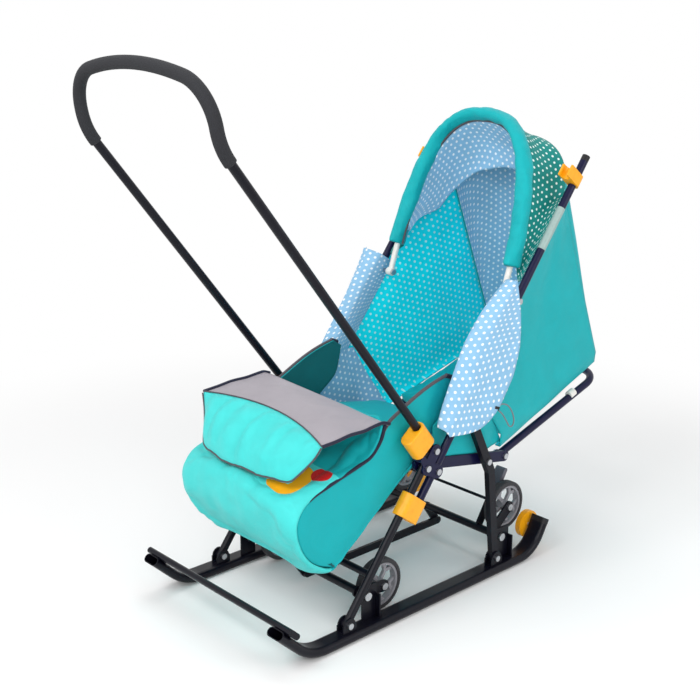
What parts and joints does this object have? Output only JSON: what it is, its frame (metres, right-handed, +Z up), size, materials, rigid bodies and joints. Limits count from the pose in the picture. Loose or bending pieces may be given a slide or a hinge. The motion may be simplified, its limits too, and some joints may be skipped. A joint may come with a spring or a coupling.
{
  "type": "sled stroller",
  "caption": "Child's sled stroller with bent runners, swing-over push handle, lifting wheels, reclining backrest, foot muff and folding hood.",
  "frame": {"origin": "middle of the bounding box on the ground under the runners", "axes": "+X to the child's left, +Y to the rear, +Z up; the front points along -Y"},
  "size_m": [0.432, 1.0529, 1.0337],
  "materials": {
    "frame_black": "gloss paint",
    "frame_navy": "gloss paint",
    "steel": "plain",
    "orange_plastic": "smooth",
    "black_plastic": "matte",
    "grip_foam": "foam",
    "grey_metal": "satin",
    "grey_plastic": "matte",
    "tyre_dark": "matte",
    "teal_fabric": "woven, slight sheen",
    "green_dot_fabric": "woven with pale dots",
    "blue_dot_fabric": "woven with white dots",
    "visor_fabric": "coated",
    "white_plastic": "smooth"
  },
  "bodies": {
    "sled": {"runner_left": "frame_black", "runner_right": "frame_black", "front_crossbar": "frame_black", "runner_end_caps": "black_plastic", "leg_brackets": "frame_black", "lift_gussets": "frame_black", "front_leg_left": "frame_black", "front_leg_right": "frame_black", "rear_leg_left": "frame_black", "rear_leg_right": "frame_black", "post_left": "frame_navy", "post_right": "frame_navy", "pivot_bracket_left": "frame_navy", "pivot_bracket_right": "frame_navy", "rear_joint_plates": "frame_navy", "frame_bolts": "steel", "front_cross_tube": "frame_navy", "rear_cross_rod": "steel", "seat_frame": "frame_navy", "handle_clip_left": "orange_plastic", "handle_clip_right": "orange_plastic", "post_plugs": "black_plastic", "roller_axles": "steel", "seat_pad": "blue_dot_fabric", "foot_muff": "teal_fabric", "muff_visor": "visor_fabric", "side_panel_left": "teal_fabric", "side_panel_right": "teal_fabric", "back_panel": "teal_fabric", "hood_canopy": "green_dot_fabric", "flap_left": "blue_dot_fabric", "flap_right": "blue_dot_fabric"},
    "handle": {"handle_tube": "frame_black", "handle_grip": "grip_foam"},
    "sleeve_left": {"handle_sleeve_left": "orange_plastic"},
    "sleeve_right": {"handle_sleeve_right": "orange_plastic"},
    "collar_left": {"leg_collar_left": "orange_plastic"},
    "collar_right": {"leg_collar_right": "orange_plastic"},
    "rear_lift": {"rear_lift": "frame_black", "rear_lift_bolts": "steel", "lift_pedal": "grey_plastic"},
    "front_lift": {"front_lift": "frame_black", "front_lift_bolts": "steel"},
    "link": {"lift_link": "grey_metal"},
    "wheel_front_left": {"rim_front_left": "grey_plastic", "tyre_front_left": "tyre_dark"},
    "wheel_front_right": {"rim_front_right": "grey_plastic", "tyre_front_right": "tyre_dark"},
    "wheel_rear_left": {"rim_rear_left": "grey_plastic", "tyre_rear_left": "tyre_dark"},
    "wheel_rear_right": {"rim_rear_right": "grey_plastic", "tyre_rear_right": "tyre_dark"},
    "roller_left": {"roller_left": "orange_plastic"},
    "roller_right": {"roller_right": "orange_plastic"},
    "backrest": {"backrest_loop": "frame_navy", "back_cushion": "blue_dot_fabric"},
    "hood": {"hood_rim": "teal_fabric", "hood_bow_ends": "white_plastic"}
  },
  "joints": [
    {"name": "handle_swing", "type": "hinge", "parent": "sled", "child": "handle", "pos_m": [0, -0.03, 0.313], "axis": [-1, 0, 0], "range_deg": [0, 75.29], "deforming": ["flap_left", "flap_right"]},
    {"name": "sleeve_left_slide", "type": "slide", "parent": "handle", "child": "sleeve_left", "axis": [0, -0.6157, 0.788], "range_m": [0, 0.028]},
    {"name": "sleeve_right_slide", "type": "slide", "parent": "handle", "child": "sleeve_right", "axis": [0, -0.6157, 0.788], "range_m": [0, 0.028]},
    {"name": "collar_left_slide", "type": "slide", "parent": "sled", "child": "collar_left", "axis": [0, 0.6059, 0.7956], "range_m": [0, 0.038]},
    {"name": "collar_right_slide", "type": "slide", "parent": "sled", "child": "collar_right", "axis": [0, 0.6059, 0.7956], "range_m": [0, 0.038]},
    {"name": "rear_lift_turn", "type": "hinge", "parent": "sled", "child": "rear_lift", "pos_m": [0, 0.186, 0.065], "axis": [-1, 0, 0], "range_deg": [0, 104]},
    {"name": "front_lift_turn", "type": "hinge", "parent": "sled", "child": "front_lift", "pos_m": [0, -0.187, 0.065], "axis": [-1, 0, 0], "range_deg": [0, 104]},
    {"name": "lift_link_turn", "type": "hinge", "parent": "rear_lift", "child": "link", "pos_m": [0, 0.21353, 0.02568], "axis": [-1, 0, 0], "range_deg": [-104, 0]},
    {"name": "wheel_front_left_spin", "type": "hinge", "parent": "front_lift", "child": "wheel_front_left", "pos_m": [0.144, -0.12102, 0.05337], "axis": [1, 0, 0], "continuous": true},
    {"name": "wheel_front_right_spin", "type": "hinge", "parent": "front_lift", "child": "wheel_front_right", "pos_m": [-0.144, -0.12102, 0.05337], "axis": [1, 0, 0], "continuous": true},
    {"name": "wheel_rear_left_spin", "type": "hinge", "parent": "rear_lift", "child": "wheel_rear_left", "pos_m": [0.144, 0.23807, 0.10716], "axis": [1, 0, 0], "continuous": true},
    {"name": "wheel_rear_right_spin", "type": "hinge", "parent": "rear_lift", "child": "wheel_rear_right", "pos_m": [-0.144, 0.23807, 0.10716], "axis": [1, 0, 0], "continuous": true},
    {"name": "roller_left_spin", "type": "hinge", "parent": "sled", "child": "roller_left", "pos_m": [0.162, 0.29362, 0.05439], "axis": [1, 0, 0], "continuous": true},
    {"name": "roller_right_spin", "type": "hinge", "parent": "sled", "child": "roller_right", "pos_m": [-0.162, 0.29362, 0.05439], "axis": [1, 0, 0], "continuous": true},
    {"name": "backrest_recline", "type": "hinge", "parent": "sled", "child": "backrest", "pos_m": [0, 0.197, 0.236], "axis": [1, 0, 0], "range_deg": [0, 45], "deforming": ["side_panel_left", "side_panel_right", "back_panel"]},
    {"name": "hood_swing", "type": "hinge", "parent": "sled", "child": "hood", "pos_m": [0, 0.19629, 0.55897], "axis": [-1, 0, 0], "range_deg": [0, 13], "deforming": ["hood_canopy"]}
  ],
  "couplings": [
    {"joint": "front_lift_turn", "follows": "rear_lift_turn", "ratio": 1},
    {"joint": "lift_link_turn", "follows": "rear_lift_turn", "ratio": -1}
  ]
}
